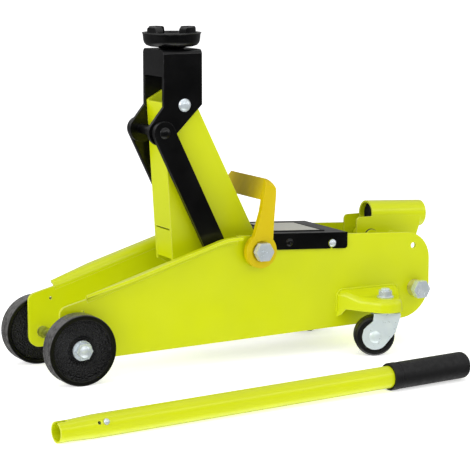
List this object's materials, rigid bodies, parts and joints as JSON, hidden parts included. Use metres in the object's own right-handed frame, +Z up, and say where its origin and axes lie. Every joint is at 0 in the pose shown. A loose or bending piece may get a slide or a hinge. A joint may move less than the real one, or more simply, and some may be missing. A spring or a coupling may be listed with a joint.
{
  "type": "trolley jack",
  "caption": "Compact hydraulic trolley jack with a parallelogram lift arm, turning saddle, carry handle and separate pump lever.",
  "frame": {"origin": "on the floor in the jack's mid-plane, straight below the lift arm's pivot", "axes": "+X towards the pump and handle socket, front wheels on -X; +Z up; the lever lies on the -Y side"},
  "size_m": [0.5079, 0.3371, 0.3279],
  "materials": {
    "lime_paint": "gloss enamel",
    "black_paint": "satin powder coat",
    "cast_black": "rough painted casting",
    "zinc": "bright zinc plating",
    "yellow_zinc": "yellow passivated zinc",
    "bare_steel": "ground steel",
    "pump_iron": "grey paint on casting",
    "spring_steel": "oiled wire",
    "yellow_plastic": "moulded",
    "black_plastic": "moulded",
    "seal_rubber": "moulded",
    "grip_rubber": "sleeve"
  },
  "bodies": {
    "chassis": {"side_plate_near": "lime_paint", "side_plate_far": "lime_paint", "front_axle": "zinc", "front_axle_nuts": "zinc", "axle_spacers": "zinc", "arm_shaft": "bare_steel", "arm_shaft_bolts": "zinc", "link_studs": "bare_steel", "link_clips": "zinc", "cover_plate": "black_paint", "cover_screws": "zinc", "pump_block": "lime_paint", "reservoir_tube": "pump_iron", "ram_cylinder": "bare_steel", "ram_gland": "pump_iron", "filler_plug": "black_plastic", "relief_screw": "zinc", "rear_bolts": "zinc", "rear_bolt_collars": "yellow_zinc", "caster_bracket_near": "lime_paint", "caster_bracket_far": "lime_paint", "caster_studs": "zinc", "caster_nuts": "zinc", "spring_anchors": "bare_steel", "socket_pivot_pin": "lime_paint", "return_spring_near": "spring_steel", "return_spring_far": "spring_steel", "plunger_spring": "spring_steel"},
    "lift_arm": {"lift_arm": "lime_paint", "arm_lower_web": "lime_paint", "crank_pin": "bare_steel"},
    "saddle_bracket": {"saddle_bracket": "black_paint", "bracket_bolt": "zinc", "bracket_nut": "zinc", "link_top_pin": "black_paint"},
    "saddle": {"saddle": "black_paint", "saddle_clip": "zinc"},
    "links": {"link_near": "black_paint", "link_far": "black_paint"},
    "ram": {"ram_rod": "bare_steel", "ram_seal": "seal_rubber", "ram_yoke": "pump_iron", "spring_pin": "bare_steel"},
    "handle_socket": {"handle_socket": "lime_paint", "pusher_pin": "lime_paint"},
    "pump_plunger": {"pump_plunger": "bare_steel"},
    "release_valve": {"release_valve": "zinc"},
    "carry_handle": {"carry_handle": "yellow_plastic"},
    "front_wheel_near": {"front_wheel_near": "cast_black"},
    "front_wheel_far": {"front_wheel_far": "cast_black"},
    "caster_near": {"caster_fork_near": "zinc", "caster_axle_near": "zinc"},
    "caster_far": {"caster_fork_far": "zinc", "caster_axle_far": "zinc"},
    "caster_wheel_near": {"caster_wheel_near": "black_plastic"},
    "caster_wheel_far": {"caster_wheel_far": "black_plastic"},
    "lever": {"lever_tube": "lime_paint", "lever_grip": "grip_rubber"},
    "lever_button": {"lever_button": "zinc"}
  },
  "joints": [
    {"name": "arm_lift", "type": "hinge", "parent": "chassis", "child": "lift_arm", "pos_m": [0, 0, 0.111], "axis": [0, -1, 0], "range_deg": [0, 83.7]},
    {"name": "bracket_level", "type": "hinge", "parent": "lift_arm", "child": "saddle_bracket", "pos_m": [-0.0685, 0, 0.2535], "axis": [0, -1, 0], "range_deg": [-83.7, 0]},
    {"name": "link_swing", "type": "hinge", "parent": "chassis", "child": "links", "pos_m": [-0.025, 0, 0.086], "axis": [0, -1, 0], "range_deg": [0, 83.7]},
    {"name": "ram_stroke", "type": "slide", "parent": "chassis", "child": "ram", "axis": [1, 0, 0], "range_m": [0, 0.0507], "deforming": ["return_spring_near", "return_spring_far"]},
    {"name": "saddle_turn", "type": "hinge", "parent": "saddle_bracket", "child": "saddle", "pos_m": [-0.0708, 0, 0.306], "axis": [0, 0, 1], "continuous": true},
    {"name": "socket_pump", "type": "hinge", "parent": "chassis", "child": "handle_socket", "pos_m": [0.147, 0, 0.11], "axis": [0, -1, 0], "range_deg": [0, 55]},
    {"name": "plunger_stroke", "type": "slide", "parent": "chassis", "child": "pump_plunger", "axis": [0, 0, 1], "range_m": [0, 0.0197], "deforming": ["plunger_spring"]},
    {"name": "valve_turn", "type": "hinge", "parent": "chassis", "child": "release_valve", "pos_m": [0.205, 0, 0.062], "axis": [1, 0, 0], "range_deg": [0, 180]},
    {"name": "carry_swing", "type": "hinge", "parent": "chassis", "child": "carry_handle", "pos_m": [0, 0, 0.111], "axis": [0, 1, 0], "range_deg": [-9, 41]},
    {"name": "wheel_near_roll", "type": "hinge", "parent": "chassis", "child": "front_wheel_near", "pos_m": [-0.193, -0.053, 0.0337], "axis": [0, 1, 0], "continuous": true},
    {"name": "wheel_far_roll", "type": "hinge", "parent": "chassis", "child": "front_wheel_far", "pos_m": [-0.193, 0.053, 0.0337], "axis": [0, 1, 0], "continuous": true},
    {"name": "caster_near_swivel", "type": "hinge", "parent": "chassis", "child": "caster_near", "pos_m": [0.1288, -0.072, 0.043], "axis": [0, 0, 1], "continuous": true},
    {"name": "caster_far_swivel", "type": "hinge", "parent": "chassis", "child": "caster_far", "pos_m": [0.1288, 0.072, 0.043], "axis": [0, 0, 1], "continuous": true},
    {"name": "caster_near_roll", "type": "hinge", "parent": "caster_near", "child": "caster_wheel_near", "pos_m": [0.11875, -0.06753, 0.02], "axis": [0.4067, 0.9135, 0], "continuous": true},
    {"name": "caster_far_roll", "type": "hinge", "parent": "caster_far", "child": "caster_wheel_far", "pos_m": [0.11875, 0.06753, 0.02], "axis": [-0.4067, 0.9135, 0], "continuous": true},
    {"name": "lever_lift", "type": "slide", "parent": "chassis", "child": "lever", "axis": [0, 0, 1], "range_m": [0, 0.25]},
    {"name": "button_press", "type": "slide", "parent": "lever", "child": "lever_button", "axis": [-0.0797, 0.8794, -0.4694], "range_m": [0, 0.002], "stiffness_N_per_m": 400}
  ],
  "couplings": [
    {"joint": "bracket_level", "follows": "arm_lift", "ratio": -1},
    {"joint": "link_swing", "follows": "arm_lift", "ratio": 1},
    {"joint": "ram_stroke", "follows": "arm_lift", "m_per_rad": 0.0347},
    {"joint": "plunger_stroke", "follows": "socket_pump", "m_per_rad": 0.02048}
  ]
}
